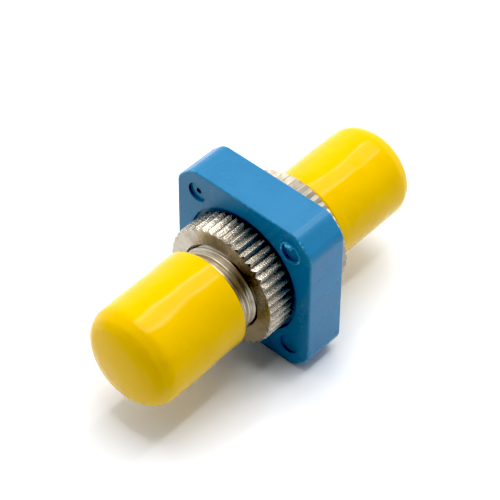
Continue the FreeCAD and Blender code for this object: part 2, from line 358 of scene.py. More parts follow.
@dataclass(frozen=True)
class NickelPlate(Finish):
    """Nickel plate on brass: warm grey, with the tool's rings or the knurl's torn grain still showing."""

    # To the eye: a satin metal with faint stains, gritty on a knurl's teeth. A knurl's rim is darkened by
    # grime and painted shade in its grooves, and by painted shade near its seat and on its underside.
    name: str = "turned_nickel"
    colour: str = "#B8B0A1"
    cloud_colour: str = "#968A74"
    cloud: Pattern = Pattern(0.9)
    roughness: Span = (0.29, 0.41)
    constants: Values = (("Metallic", 1.0),)
    # Real feed marks are about 0.05 mm apart. They are drawn wider, or the render would lose them.
    reliefs: Reliefs = (Relief(0.16, Octaves.SMOOTH, Mark.RINGS, wander=0.6, depth_mm=0.004),)
    machining: Machining = Machining.TURNED
    stain_span: Span = (0.45, 0.8)
    stain_share: Span = (0.0, 0.8)
    rolled_colour: str = "#C8BEAD"
    rolled_roughness: float = 0.25
    rolled_span: Span = (0.05, 0.2)
    # Painted shade as well as grime: this dark colour fills the knurl's grooves, and as painted shade it also
    # darkens the rim near its seat and on its underside.
    grime_shade_colour: str = "#1C1A17"
    grime_shade_span: Span = (0.2, 1.1)
    grime_shade_share: Span = (0.0, 0.78)
    # The torn grain is drawn coarse enough to show, too.
    grain: Relief = Relief(0.15, Octaves.BUSY, depth_mm=0.012)
    grain_span: Span = (0.4, 0.6)
    grain_grime_shade: float = -0.33

    def spread(self, tree: Tree, cloud: Socket) -> Socket:
        """The tarnish's share at each place, which gathers in patches."""
        stain = add_node(tree, "ShaderNodeMapRange", [cloud, *self.stain_span, *self.stain_share])
        return stain.outputs["Result"]

    def add_looks(self, tree: Tree, place: Socket) -> dict[str, Any]:
        """Adds the stains and the tool's rings, then tears a rolled rim and darkens it: grime and painted
        shade in its grooves, painted shade near its seat and on its underside.

        Args:
            tree: The material's node tree.
            place: The coordinates that the patterns read.

        Returns:
            What goes into the shader's sockets, by their names.
        """
        looks = super().add_looks(tree, place)
        if self.machining is Machining.TURNED:
            return looks
        # The attribute holds grime and painted shade together. The torn grain lightens it in places.
        depth = add_node(tree, "ShaderNodeAttribute", attribute_name=KNURL_GRIME_SHADE).outputs["Fac"]
        on_rim = add_node(tree, "ShaderNodeMapRange", [depth, *self.rolled_span]).outputs["Result"]
        grain = self.grain.add(tree, place)
        torn = add_node(
            tree, "ShaderNodeMapRange", [grain, *self.grain_span], interpolation_type="SMOOTHSTEP"
        ).outputs["Result"]
        torn_grime_shade = add_node(tree, "ShaderNodeMath", [torn, self.grain_grime_shade, depth], operation="MULTIPLY_ADD")
        grime_shade_amount = add_node(
            tree, "ShaderNodeMapRange", [torn_grime_shade.outputs["Value"], *self.grime_shade_span, *self.grime_shade_share]
        )
        colour = looks["Base Color"]
        for share, coat in ((on_rim, self.rolled_colour), (grime_shade_amount.outputs["Result"], self.grime_shade_colour)):
            inputs = {SHARE: share, BASE: colour, TOP: linear(coat)}
            colour = add_node(tree, "ShaderNodeMix", inputs, data_type="RGBA").outputs[MIXED]
        sheen = add_node(
            tree,
            "ShaderNodeMix",
            {SHARE: on_rim, BASE_NUMBER: looks["Roughness"], TOP_NUMBER: self.rolled_roughness},
            data_type="FLOAT",
        ).outputs[MIXED_NUMBER]
        bump = {"Strength": on_rim, "Distance": self.grain.depth_mm * MM, "Height": torn}
        grit = add_node(tree, "ShaderNodeBump", bump | {"Normal": looks["Normal"]}).outputs["Normal"]
        return {"Base Color": colour, "Roughness": sheen, "Normal": grit}


@dataclass(frozen=True)
class DippedVinyl(Finish):
    """Dip-moulded soft yellow vinyl: glossy, a little see-through, with the slow waves of a dipped skin."""

    # To the eye: a deep yellow with sharp highlights whose edges wander.
    name: str = "dipped_yellow_vinyl"
    colour: str = "#E2B900"
    cloud_colour: str = "#DAAF00"
    cloud: Pattern = Pattern(5.0)
    roughness: Span = (0.12, 0.18)
    constants: Values = (
        ("IOR", 1.53),
        ("Specular IOR Level", 0.12),
        ("Subsurface Weight", 0.12),
        ("Subsurface Radius", (1.0, 0.6, 0.05)),
        ("Subsurface Scale", 0.8 * MM),
    )
    reliefs: Reliefs = (
        Relief(2.0, Octaves.SMOOTH, depth_mm=0.1, strength=0.8),
        Relief(0.5, Octaves.SMOOTH, depth_mm=0.02, strength=0.3),
    )


@dataclass(frozen=True)
class BareBrass(Finish):
    """Turned free-cutting brass with no plate, a little tarnished."""

    # To the eye: a yellow metal with brown patches and fine rings, which are drawn wide enough to show.
    name: str = "turned_brass"
    colour: str = "#D9B463"
    cloud_colour: str = "#A47A36"
    cloud: Pattern = Pattern(0.7, Octaves.MOTTLED)
    roughness: Span = (0.2, 0.42)
    constants: Values = (("Metallic", 1.0),)
    rough_span: Span = FULL_SPAN
    reliefs: Reliefs = (
        Relief(0.14, Octaves.SMOOTH, Mark.RINGS, wander=0.4, depth_mm=0.01, strength=0.6),
    )


@dataclass(frozen=True)
class GroundCeramic(Finish):
    """Ground zirconia, dense and hard."""

    # To the eye: ivory white with a soft sheen. Its hair-fine grinding lines are drawn wide enough to show.
    name: str = "ground_zirconia"
    colour: str = "#F1EFE6"
    cloud_colour: str = "#DEDACB"
    cloud: Pattern = Pattern(0.8)
    roughness: Span = (0.18, 0.32)
    constants: Values = (
        ("IOR", 2.1),
        ("Subsurface Weight", 0.2),
        ("Subsurface Radius", (0.6, 0.55, 0.5)),
        ("Subsurface Scale", 0.4 * MM),
    )
    rough_span: Span = FULL_SPAN
    reliefs: Reliefs = (
        Relief(0.12, Octaves.SMOOTH, Mark.LINES, wander=0.5, depth_mm=0.006, strength=0.3),
    )


@dataclass(frozen=True)
class PaleFloor(Finish):
    """White card, matt and all but even."""

    # To the eye: plain white with no shine, on which only the shadows show.
    name: str = "white_card"
    colour: str = "#F0F3F8"
    cloud_colour: str = "#EDF0F5"
    cloud: Pattern = Pattern(60.0)
    roughness: Span = (0.7, 0.7)
    constants: Values = (("IOR", 1.45),)


@dataclass(frozen=True)
class Rounding:
    """How edges are rounded: how wide, in how many steps, and from which angle in degrees."""

    width: float
    steps: int
    angle: float


def add_object(name: str, operator: Callable[..., Any], **settings: Any) -> Shape:
    """Adds an object with nothing else selected.

    Args:
        name: The new object's name.
        operator: The operator that adds it.
        **settings: The operator's options.

    Returns:
        The new object.
    """
    bpy.ops.object.select_all(action="DESELECT")
    operator(**settings)
    obj = bpy.context.active_object
    obj.name = name
    return obj


def settle() -> None:
    """Puts the selected object's place, turn and scale into its mesh."""
    bpy.ops.object.transform_apply(location=True, rotation=True, scale=True)


def choose_only(obj: Shape) -> None:
    """Deselects everything, then selects one object and makes it active.

    Args:
        obj: The object to choose.
    """
    bpy.ops.object.select_all(action="DESELECT")
    obj.select_set(True)
    bpy.context.view_layer.objects.active = obj


def pick_anew(pick: Pick) -> None:
    """Changes what is picked in edit mode and deselects everything."""
    bpy.ops.mesh.select_mode(type=pick.value)
    bpy.ops.mesh.select_all(action="DESELECT")


def open_mesh(obj: Shape, pick: Pick) -> None:
    """Goes into edit mode on one object, with nothing selected.

    Args:
        obj: The object to open.
        pick: What the next selection takes.
    """
    choose_only(obj)
    bpy.ops.object.mode_set(mode="EDIT")
    pick_anew(pick)


def close_mesh() -> None:
    """Goes back to object mode."""
    bpy.ops.object.mode_set(mode="OBJECT")


def select_where(obj: Shape, pick: Pick, wanted: Test) -> None:
    """Selects points or edges by their place, in edit mode.

    Args:
        obj: The object in edit mode.
        pick: What to select.
        wanted: Told the places of an element's points, says whether to select it.
    """
    mesh = bmesh.from_edit_mesh(obj.data)
    if pick is Pick.POINTS:
        found = [point for point in mesh.verts if wanted([point.co])]
    else:
        found = [edge for edge in mesh.edges if wanted([point.co for point in edge.verts])]
    for element in found:
        element.select_set(True)
    mesh.select_flush_mode()
    bmesh.update_edit_mesh(obj.data)


def bevel_edges(obj: Shape, width: float, steps: int, wanted: Test) -> None:
    """Bevels edges by their place, in edit mode.

    Args:
        obj: The object in edit mode.
        width: How far the bevel reaches from the edge, in millimetres.
        steps: How many steps it has.
        wanted: Told the places of an edge's two points, says whether to bevel it.
    """
    pick_anew(Pick.EDGES)
    select_where(obj, Pick.EDGES, wanted)
    bpy.ops.mesh.bevel(offset=width, segments=steps, affect="EDGES")


def close_ends() -> None:
    """Fills the open ends of a tube in edit mode and turns all its faces outwards."""
    bpy.ops.mesh.select_all(action="SELECT")
    bpy.ops.mesh.fill_holes(sides=0)
    bpy.ops.mesh.select_all(action="SELECT")
    bpy.ops.mesh.normals_make_consistent(inside=False)


def apply_modifier(obj: Shape, kind: str, **settings: Any) -> None:
    """Adds a modifier, sets it and applies it.

    Args:
        obj: The object to change.
        kind: The modifier's type name.
        **settings: The modifier's options.
    """
    choose_only(obj)
    modifier = obj.modifiers.new(kind.lower(), kind)
    for name, value in settings.items():
        setattr(modifier, name, value)
    bpy.ops.object.modifier_apply(modifier=modifier.name)


def combine(obj: Shape, tool: Shape, cut: Cut) -> None:
    """Cuts, trims or joins one shape with another, which is used up."""
    apply_modifier(obj, "BOOLEAN", operation=cut.value, solver="EXACT", object=tool)
    bpy.data.objects.remove(tool, do_unlink=True)


def soften(obj: Shape, rounding: Rounding) -> None:
    """Rounds every edge that is sharp enough.

    Args:
        obj: The object to change.
        rounding: How its edges are rounded.
    """
    apply_modifier(
        obj,
        "BEVEL",
        width=rounding.width,
        segments=rounding.steps,
        limit_method="ANGLE",
        angle_limit=math.radians(rounding.angle),
        use_clamp_overlap=True,
    )


def draw_outline(name: str, points: Sequence[Vector], closed: bool) -> Shape:
    """Draws a chain of edges, point by point.

    Args:
        name: The new object's name.
        points: Where the chain goes.
        closed: Whether the last point joins the first.

    Returns:
        The new object, in edit mode with all of it selected.
    """
    obj = add_object(name, bpy.ops.mesh.primitive_plane_add, size=1.0, location=points[0])
    bpy.ops.object.transform_apply(location=True, rotation=False, scale=False)
    open_mesh(obj, Pick.POINTS)
    bpy.ops.mesh.select_all(action="SELECT")
    bpy.ops.mesh.merge(type="CENTER")
    for start, stop in zip(points, points[1:]):
        bpy.ops.mesh.extrude_vertices_move(TRANSFORM_OT_translate={"value": tuple(stop - start)})
    if closed:
        select_where(obj, Pick.POINTS, lambda at: (at[0] - points[0]).length < MERGE_GAP)
        bpy.ops.mesh.edge_face_add()
    bpy.ops.mesh.select_all(action="SELECT")
    return obj


def turn_on_lathe(
    name: str,
    outline: Outline,
    facets: int,
    closed: bool = True,
    axis: Axis = Axis.ALONG_BARREL,
    centre: Triple = (0.0, 0.0, 0.0),
) -> Shape:
    """Turns a piece: an outline spun once round an axis.

    Args:
        name: The new object's name.
        outline: Radius and place along the axis of each point, in millimetres.
        facets: How many steps the turn has.
        closed: Whether the outline is a loop, as for a ring; otherwise it begins and ends on the axis.
        axis: The direction of the axis.
        centre: A point on the axis, from which places along it are measured.

    Returns:
        The turned object, in object mode.
    """
    along = Vector(axis.value)
    outward = Vector((0.0, 0.0, 1.0))
    points = [Vector(centre) + along * place + outward * radius for radius, place in outline]
    obj = draw_outline(name, points, closed)
    bpy.ops.mesh.spin(steps=facets, angle=FULL_TURN, center=centre, axis=axis.value)
    bpy.ops.mesh.select_all(action="SELECT")
    bpy.ops.mesh.remove_doubles(threshold=MERGE_GAP)
    bpy.ops.mesh.normals_make_consistent(inside=False)
    close_mesh()
    return obj


def drill(name: str, radius: float, start: Vector, stop: Vector, facets: int) -> Shape:
    """Makes a round cutting tool between two points.

    Args:
        name: The tool's name.
        radius: Its radius in millimetres.
        start: The middle of one end.
        stop: The middle of the other end.
        facets: How many sides it has.

    Returns:
        The tool.
    """
    run = stop - start
    return add_object(
        name,
        bpy.ops.mesh.primitive_cylinder_add,
        vertices=facets,
        radius=radius,
        depth=run.length,
        location=(start + stop) / 2.0,
        rotation=run.to_track_quat("Z", "Y").to_euler(),
    )


def block(name: str, low: Vector, high: Vector) -> Shape:
    """Makes a box between two corners, with its place in its mesh.

    Args:
        name: The new object's name.
        low: Its lowest corner.
        high: Its highest corner.

    Returns:
        The box.
    """
    obj = add_object(name, bpy.ops.mesh.primitive_cube_add, size=1.0, location=(low + high) / 2.0)
    obj.scale = high - low
    settle()
    return obj


def arc(centre: Span, radii: Span, start: float, stop: float, steps: int) -> Outline:
    """Points on a rounded corner of an outline.

    Args:
        centre: Radius and place along the axis of the corner's middle.
        radii: How far it reaches outwards and along the axis.
        start: The first point's angle in degrees, from outwards towards along.
        stop: The last point's angle.
        steps: How many steps lie between them.

    Returns:
        Radius and place along the axis of each point.
    """
    angles = [math.radians(start + (stop - start) * i / steps) for i in range(steps + 1)]
    return [(centre[0] + radii[0] * math.cos(a), centre[1] + radii[1] * math.sin(a)) for a in angles]


def towards(way: Way, outline: Outline) -> Outline:
    """An outline drawn along the axis, made to face one end or side."""
    return [(radius, way.value * place) for radius, place in outline]


@dataclass
class Piece:
    """One piece of the adapter: the node it stands for, the body that carries it, its slot and its finish."""

    node: str
    body: str
    slot: str
    finish: Finish

    def model(self) -> Shape:
        """Models the piece in millimetres."""
        raise NotImplementedError

    def build(self) -> Shape:
        """Models the piece, brings it to metres, and gives it its finish and its body.

        Returns:
            The finished object.
        """
        obj = self.model()
        obj.name = f"{self.node}_dressed"
        obj.data.name = obj.name
        choose_only(obj)
        obj.scale = (MM, MM, MM)
        settle()
        bpy.ops.object.shade_smooth_by_angle(angle=math.radians(SMOOTH_ANGLE))
        apply_modifier(obj, "WEIGHTED_NORMAL", keep_sharp=True)
        obj.data.materials.clear()
        obj.data.materials.append(self.finish.material())
        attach(obj, self.body)
        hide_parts(self.node)
        return obj


@dataclass
class Flange(Piece):
    """The square plate: cut corners, a recess for each nut, and the mould's marks on its front."""

    width: float = 18.0
    height: float = 18.8
    thickness: float = 5.0
    corner_cut: float = 1.95
    corner_soft: float = 0.65
    corner_steps: int = 6
    rim_soft: float = 0.2
    rim_steps: int = 4
    cut_soft: Rounding = Rounding(0.06, 3, 60.0)
    hole_radius: float = 4.8625
    hole_facets: int = 96
    recess_radius: float = 7.3
    recess_depth: float = 0.4
    recess_facets: int = 128
    mark_radius: float = 1.15
    mark_depth: float = 0.3
    mark_place: Span = (6.3, 6.7)
    mark_facets: int = 48
    gate_radius: float = 0.34
    gate_depth: float = 0.55
    gate_facets: int = 20
    burr_radius: float = 1.22
    burr_height: float = 0.13
    burr_arc: float = 330.0
    burr_steps: int = 11
    crumb_low: Triple = (-0.42, -0.5, 0.95)
    crumb_high: Triple = (0.5, 0.3, 1.36)
    crumb_soft: Rounding = Rounding(0.13, 3, 40.0)
    corner_wear: float = 1.0
    flat_edge_wear: float = 0.2
    # The flash's pale flecks are partly a painted highlight on its lit top.
    flash_pale_highlight: float = 1.0

    def half(self) -> Vector:
        """Half the plate's width, thickness and height."""
        return Vector((self.width, self.thickness, self.height)) / 2.0

    def plate(self) -> Shape:
        """Cuts and softens the plate's corners and rims.

        Returns:
            The plate before its holes.
        """
        half = self.half()
        plate = block("flange_plate", -half, half)
        bevels: tuple[tuple[float, int, Test], ...] = (
            (self.corner_cut, 1, lambda at: abs(at[0].y - at[1].y) > half.y),
            (self.corner_soft, self.corner_steps, lambda at: abs(at[0].y - at[1].y) > half.y),
            (self.rim_soft, self.rim_steps, lambda at: abs(at[0].y - at[1].y) < MERGE_GAP),
        )
        for width, steps, wanted in bevels:
            open_mesh(plate, Pick.EDGES)
            bevel_edges(plate, width, steps, wanted)
            close_mesh()
        return plate

    def bore(self, plate: Shape) -> None:
        """Cuts the barrel's hole and the two round recesses.

        Args:
            plate: The plate to cut.
        """
        beyond = Vector((0.0, self.thickness, 0.0))
        combine(plate, drill("hole", self.hole_radius, -beyond, beyond, self.hole_facets), Cut.AWAY)
        for end in End:
            floor = Vector((0.0, end.value * (self.thickness / 2.0 - self.recess_depth), 0.0))
            tool = drill("recess", self.recess_radius, floor, beyond * end.value, self.recess_facets)
            combine(plate, tool, Cut.AWAY)

    def mark(self, plate: Shape) -> None:
        """Presses the ejector pins' marks and the gate's pit into the front.

        Args:
            plate: The plate to mark.
        """
        front = -self.thickness / 2.0
        out = Vector((0.0, -self.thickness, 0.0))
        across, up = self.mark_place
        for x in (-across, across):
            for z in (-up, up):
                floor = Vector((x, front + self.mark_depth, z))
                tool = drill("mark", self.mark_radius, floor, floor + out, self.mark_facets)
                combine(plate, tool, Cut.AWAY)
        pit = Vector((-across, front + self.gate_depth, up))
        combine(plate, drill("gate", self.gate_radius, pit, pit + out, self.gate_facets), Cut.AWAY)

    def leave_flash(self, plate: Shape) -> None:
        """Leaves a thin burr round the mark at the upper right, with a crumb of flash on its top.

        Args:
            plate: The plate that takes them.
        """
        across, up = self.mark_place
        spot = Vector((across, -self.thickness / 2.0, up))
        thickness = (self.burr_height, self.burr_height)
        section = arc((self.burr_radius, 0.0), thickness, 0.0, self.burr_arc, self.burr_steps)
        burr = turn_on_lathe("burr", section, self.mark_facets, centre=tuple(spot))
        combine(plate, burr, Cut.TOGETHER)
        crumb = block("crumb", spot + Vector(self.crumb_low), spot + Vector(self.crumb_high))
        soften(crumb, self.crumb_soft)
        combine(plate, crumb, Cut.TOGETHER)

    def note_wear(self, plate: Shape) -> None:
        """Notes how much the outer rims are worn, most at the cut corners, and how pale the flash is painted,
        which is partly a painted highlight on its lit top.

        Args:
            plate: The finished plate.
        """
        half = self.half()
        strip = self.rim_soft + MERGE_GAP
        corner_reach = half.x + half.z - self.corner_cut - 2.0 * strip
        wear = plate.data.attributes.new(EDGE_WEAR, "FLOAT", "POINT")
        for point, value in zip(plate.data.vertices, wear.data):
            x, y, z = (abs(c) for c in point.co)
            on_rim = half.y - self.rim_soft + MERGE_GAP < y < half.y - MERGE_GAP
            # The flash: pale flecks, partly a painted highlight.
            if y > half.y + MERGE_GAP:
                value.value = self.flash_pale_highlight
            elif on_rim and x + z > corner_reach:
                value.value = self.corner_wear
            elif on_rim and (x > half.x - strip or z > half.z - strip):
                value.value = self.flat_edge_wear

    def model(self) -> Shape:
        """Models the flange.

        Returns:
            The flange in millimetres.
        """
        plate = self.plate()
        self.bore(plate)
        self.mark(plate)
        soften(plate, self.cut_soft)
        self.leave_flash(plate)
        self.note_wear(plate)
        return plate


@dataclass
class Barrel(Piece):
    """The turned barrel: threaded middle, bayonet ends, plug sockets, keyways and pin holes."""

    thread_radius: float = 4.7625
    thread_root: float = 4.3625
    thread_pitch: float = 0.79375
    thread_reach: float = 10.5
    thread_steps: int = 60
    groove_share: float = 0.93
    groove_points: int = 5
    cone_start: float = 9.74
    end_radius: float = 4.0025
    half_length: float = 17.5
    edge: float = 0.3
    edge_soft: Rounding = Rounding(0.06, 2, 25.0)
    facets: int = 96
    socket_radius: float = 2.5
    socket_floor: float = 6.55
    seat_radius: float = 2.3
    seat_floor: float = 5.5
    web_radius: float = 2.1
    keyway_width: float = 1.1
    keyway_length: float = 4.5
    pin_place: float = 14.0
    pin_radius: float = 0.8
    pin_facets: int = 32

    def blank(self) -> Shape:
        """Turns the barrel before its thread is cut.

        Returns:
            The blank.
        """
        outside = [
            (self.thread_radius, self.cone_start),
            (self.end_radius, self.thread_reach),
            (self.end_radius, self.half_length - self.edge),
            (self.end_radius - self.edge, self.half_length),
        ]
        inside = [
            (self.socket_radius + self.edge, self.half_length),
            (self.socket_radius, self.half_length - self.edge),
            (self.socket_radius, self.socket_floor),
            (self.seat_radius, self.socket_floor),
            (self.seat_radius, self.seat_floor),
            (self.web_radius, self.seat_floor),
        ]
        rear = outside + inside
        front = towards(End.FRONT, rear)[::-1]
        blank = turn_on_lathe("barrel_blank", rear + front, self.facets)
        soften(blank, self.edge_soft)
        return blank

    def thread_tool(self) -> Shape:
        """Winds the groove that a worn threading tool cuts, round at its root and at the crests beside it.

        Returns:
            The helical groove as a solid.
        """
        middle = (self.thread_radius + self.thread_root) / 2.0
        swing = (self.thread_radius - self.thread_root) / 2.0
        reach = 0.5 * self.thread_pitch * self.groove_share
        counts = range(-self.groove_points, self.groove_points + 1)
        angles = [math.pi * i / self.groove_points for i in counts]
        loop = [(middle - swing * math.cos(angle), reach * angle / math.pi) for angle in angles]
        above = self.thread_radius + swing
        loop += [(above, reach), (above, -reach)]
        turns = math.ceil(2.0 * self.thread_reach / self.thread_pitch) + 1
        start = -0.5 * turns * self.thread_pitch
        points = [Vector((0.0, start + place, radius)) for radius, place in loop]
        tool = draw_outline("thread_tool", points, True)
        close_mesh()
        apply_modifier(
            tool,
            "SCREW",
            axis="Y",
            angle=FULL_TURN,
            screw_offset=self.thread_pitch,
            iterations=turns,
            steps=self.thread_steps,
            render_steps=self.thread_steps,
        )
        open_mesh(tool, Pick.EDGES)
        close_ends()
        close_mesh()
        return tool

    def model(self) -> Shape:
        """Models the barrel.

        Returns:
            The barrel in millimetres.
        """
        barrel = self.blank()
        combine(barrel, self.thread_tool(), Cut.AWAY)
        half = self.keyway_width / 2.0
        for end in End:
            floor = end.value * (self.half_length - self.keyway_length)
            mouth = end.value * (self.half_length + OVERRUN)
            low = Vector((-half, min(floor, mouth), 0.5 * self.socket_radius))
            high = Vector((half, max(floor, mouth), self.end_radius + OVERRUN))
            combine(barrel, block("keyway", low, high), Cut.AWAY)
            start = Vector((-self.thread_radius, end.value * self.pin_place, 0.0))
            stop = Vector((self.thread_radius, end.value * self.pin_place, 0.0))
            combine(barrel, drill("pin_hole", self.pin_radius, start, stop, self.pin_facets), Cut.AWAY)
        return barrel


@dataclass
class BayonetPin(Piece):
    """A pin pressed into the barrel's side, with a rounded tip that the plug's ring rides over."""

    end: End
    side: Side
    radius: float = 0.81
    inner: float = 2.6
    outer: float = 4.6625
    edge: float = 0.1
    tip_round: float = 0.25
    tip_steps: int = 5
    facets: int = 40
    place: float = 14.0

    def model(self) -> Shape:
        """Models the pin.

        Returns:
            The pin in millimetres.
        """
        corner = (self.radius - self.tip_round, self.outer - self.tip_round)
        outline = [
            (0.0, self.inner),
            (self.radius - self.edge, self.inner),
            (self.radius, self.inner + self.edge),
            *arc(corner, (self.tip_round, self.tip_round), 0.0, 90.0, self.tip_steps),
            (0.0, self.outer),
        ]
        centre = (0.0, self.end.value * self.place, 0.0)
        outline = towards(self.side, outline)
        return turn_on_lathe("pin", outline, self.facets, False, Axis.ACROSS_BARREL, centre)


@dataclass
class SleeveHolder(Piece):
    """The bush that keeps the split sleeve in the barrel's middle."""

    end: End
    inner_end: float = 0.05
    outer_end: float = 6.55
    outer_radius: float = 2.11
    shoulder_radius: float = 2.27
    shoulder_start: float = 5.5
    pocket_radius: float = 1.65
    pocket_floor: float = 5.75
    bore_radius: float = 1.45
    lead: float = 0.4
    edge_soft: Rounding = Rounding(0.05, 2, 30.0)
    facets: int = 64

    def model(self) -> Shape:
        """Models the bush.

        Returns:
            The bush in millimetres.
        """
        outline = [
            (self.pocket_radius, self.inner_end),
            (self.outer_radius, self.inner_end),
            (self.outer_radius, self.shoulder_start),
            (self.shoulder_radius, self.shoulder_start),
            (self.shoulder_radius, self.outer_end),
            (self.bore_radius + self.lead, self.outer_end),
            (self.bore_radius, self.outer_end - self.lead),
            (self.bore_radius, self.pocket_floor),
            (self.pocket_radius, self.pocket_floor),
        ]
        bush = turn_on_lathe("bush", towards(self.end, outline), self.facets)
        soften(bush, self.edge_soft)
        return bush


@dataclass
class SplitSleeve(Piece):
    """The ceramic sleeve that lines the two ferrules up, with one slit along it."""

    inner_radius: float = 1.25
    outer_radius: float = 1.6
    half_length: float = 5.7
    slit: float = 0.4
    edge_soft: Rounding = Rounding(0.07, 3, 30.0)
    facets: int = 72

    def model(self) -> Shape:
        """Models the sleeve.

        Returns:
            The sleeve in millimetres.
        """
        outline = [
            (self.inner_radius, -self.half_length),
            (self.outer_radius, -self.half_length),
            (self.outer_radius, self.half_length),
            (self.inner_radius, self.half_length),
        ]
        sleeve = turn_on_lathe("sleeve", outline, self.facets)
        soften(sleeve, self.edge_soft)
        low = Vector((-self.slit / 2.0, -self.half_length - OVERRUN, 0.5 * self.inner_radius))
        high = Vector((self.slit / 2.0, self.half_length + OVERRUN, self.outer_radius + OVERRUN))
        combine(sleeve, block("slit", low, high), Cut.AWAY)
        return sleeve


@dataclass
class KnurledNut(Piece):
    """A round nut: a turned ring with straight V grooves rolled into its rim, running out on its chamfers."""

    end: End
    turn: float
    crest_radius: float = 6.95
    root_radius: float = 6.6
    inner_face: float = 2.1
    outer_face: float = 5.8
    edge: float = 0.2
    inner_edge: float = 0.5
    bore_radius: float = 4.8125
    countersink: float = 0.2
    facets: int = 180
    teeth: int = 45
    crest_soft: float = 0.05
    root_soft: float = 0.03
    soft_steps: int = 3
    rows: int = 22
    unevenness: float = 0.02
    uneven_seed: int = 11
    tearing: float = 0.006
    tear_seed: int = 23
    face_tilt: float = 0.5
    # How dark the rim is painted: grime and painted shade in its grooves, and painted shade near its seat in
    # the flange and on its underside.
    crest_grime_shade: float = 0.25
    root_grime_shade: float = 1.0
    seat_shade: float = 0.45
    under_shade: float = 0.5

    def blank(self) -> Shape:
        """Turns the ring before it is knurled.

        Returns:
            The blank.
        """
        outline = [
            (self.crest_radius, self.outer_face - self.edge),
            (self.crest_radius - self.edge, self.outer_face),
            (self.bore_radius + self.countersink, self.outer_face),
            (self.bore_radius, self.outer_face - self.countersink),
            (self.bore_radius, self.inner_face + self.countersink),
            (self.bore_radius + self.countersink, self.inner_face),
            (self.crest_radius - self.inner_edge, self.inner_face),
            (self.crest_radius, self.inner_face + self.inner_edge),
        ]
        return turn_on_lathe("nut_blank", towards(self.end, outline), self.facets)

    def knurl(self) -> Shape:
        """Draws a long bar with the knurl's section, in rows whose points are torn a little.

        Every second point of a circle is drawn in to the groove's root, and the others are left uneven.

        Returns:
            The bar, longer than the nut at both ends.
        """
        length = self.outer_face - self.inner_face + 2.0 * OVERRUN
        step = length / self.rows
        start = self.end.value * (self.inner_face + self.outer_face) / 2.0 - length / 2.0
        tip_radius = self.crest_radius + self.unevenness
        bar = add_object(
            "knurl_bar",
            bpy.ops.mesh.primitive_circle_add,
            vertices=2 * self.teeth,
            radius=tip_radius,
            location=(0.0, start, 0.0),
            rotation=(QUARTER_TURN, math.radians(self.turn), 0.0),
        )
        settle()
        open_mesh(bar, Pick.POINTS)
        mesh = bmesh.from_edit_mesh(bar.data)
        for point in mesh.verts:
            point.select_set(point.index % 2 == 1)
        mesh.select_flush_mode()
        bmesh.update_edit_mesh(bar.data)
        shrink = self.root_radius / tip_radius
        bpy.ops.transform.resize(value=(shrink, 1.0, shrink), center_override=(0.0, start, 0.0))
        bpy.ops.mesh.select_all(action="INVERT")
        bpy.ops.transform.vertex_random(offset=self.unevenness, seed=self.uneven_seed + self.end.value)
        bpy.ops.mesh.select_all(action="SELECT")
        bpy.ops.mesh.extrude_region_move(TRANSFORM_OT_translate={"value": (0.0, step, 0.0)})
        middle_radius = (self.crest_radius + self.root_radius) / 2.0
        for soft, outer in ((self.crest_soft, True), (self.root_soft, False)):
            bevel_edges(
                bar,
                soft,
                self.soft_steps,
                lambda at: abs(at[0].y - at[1].y) > step / 2.0
                and (math.hypot(at[0].x, at[0].z) > middle_radius) == outer,
            )
        pick_anew(Pick.EDGES)
        select_where(bar, Pick.EDGES, lambda at: min(at[0].y, at[1].y) > start + step / 2.0)
        for _ in range(1, self.rows):
            bpy.ops.mesh.extrude_region_move(TRANSFORM_OT_translate={"value": (0.0, step, 0.0)})
        bpy.ops.mesh.select_all(action="SELECT")
        bpy.ops.transform.vertex_random(offset=self.tearing, seed=self.tear_seed + self.end.value)
        close_ends()
        close_mesh()
        return bar

    def note_grime_shade(self, nut: Shape) -> None:
        """Notes how dark each corner of the rolled rim is painted, and nothing on the turned faces.

        A groove gets more than a crest, partly as grime and partly as painted shade.
        The rim's seat in the flange and its underside get painted shade besides.

        Args:
            nut: The knurled nut.
        """
        grime_shade_marks = nut.data.attributes.new(KNURL_GRIME_SHADE, "FLOAT", "CORNER")
        groove = self.crest_radius - self.root_radius
        for face in nut.data.polygons:
            radius = math.hypot(face.center.x, face.center.z)
            if abs(face.normal.y) > self.face_tilt or radius < self.root_radius - groove:
                continue
            for corner in face.loop_indices:
                at = nut.data.vertices[nut.data.loops[corner].vertex_index].co
                # The groove's part is grime and painted shade together.
                sunk = (self.crest_radius - math.hypot(at.x, at.z)) / groove
                depth = self.crest_grime_shade + (self.root_grime_shade - self.crest_grime_shade) * min(max(sunk, 0.0), 1.0)
                # Painted shade: the rim is painted darker towards its seat in the flange and towards the
                # bottom.
                near_seat = (self.outer_face - abs(at.y)) / (self.outer_face - self.inner_face)
                underneath = max(-at.z, 0.0) / self.crest_radius
                grime_shade_amount = depth + self.seat_shade * near_seat**2 + self.under_shade * underneath
                grime_shade_marks.data[corner].value = grime_shade_amount

    def model(self) -> Shape:
        """Models the nut.

        Returns:
            The nut in millimetres.
        """
        nut = self.blank()
        combine(nut, self.knurl(), Cut.COMMON)
        self.note_grime_shade(nut)
        return nut


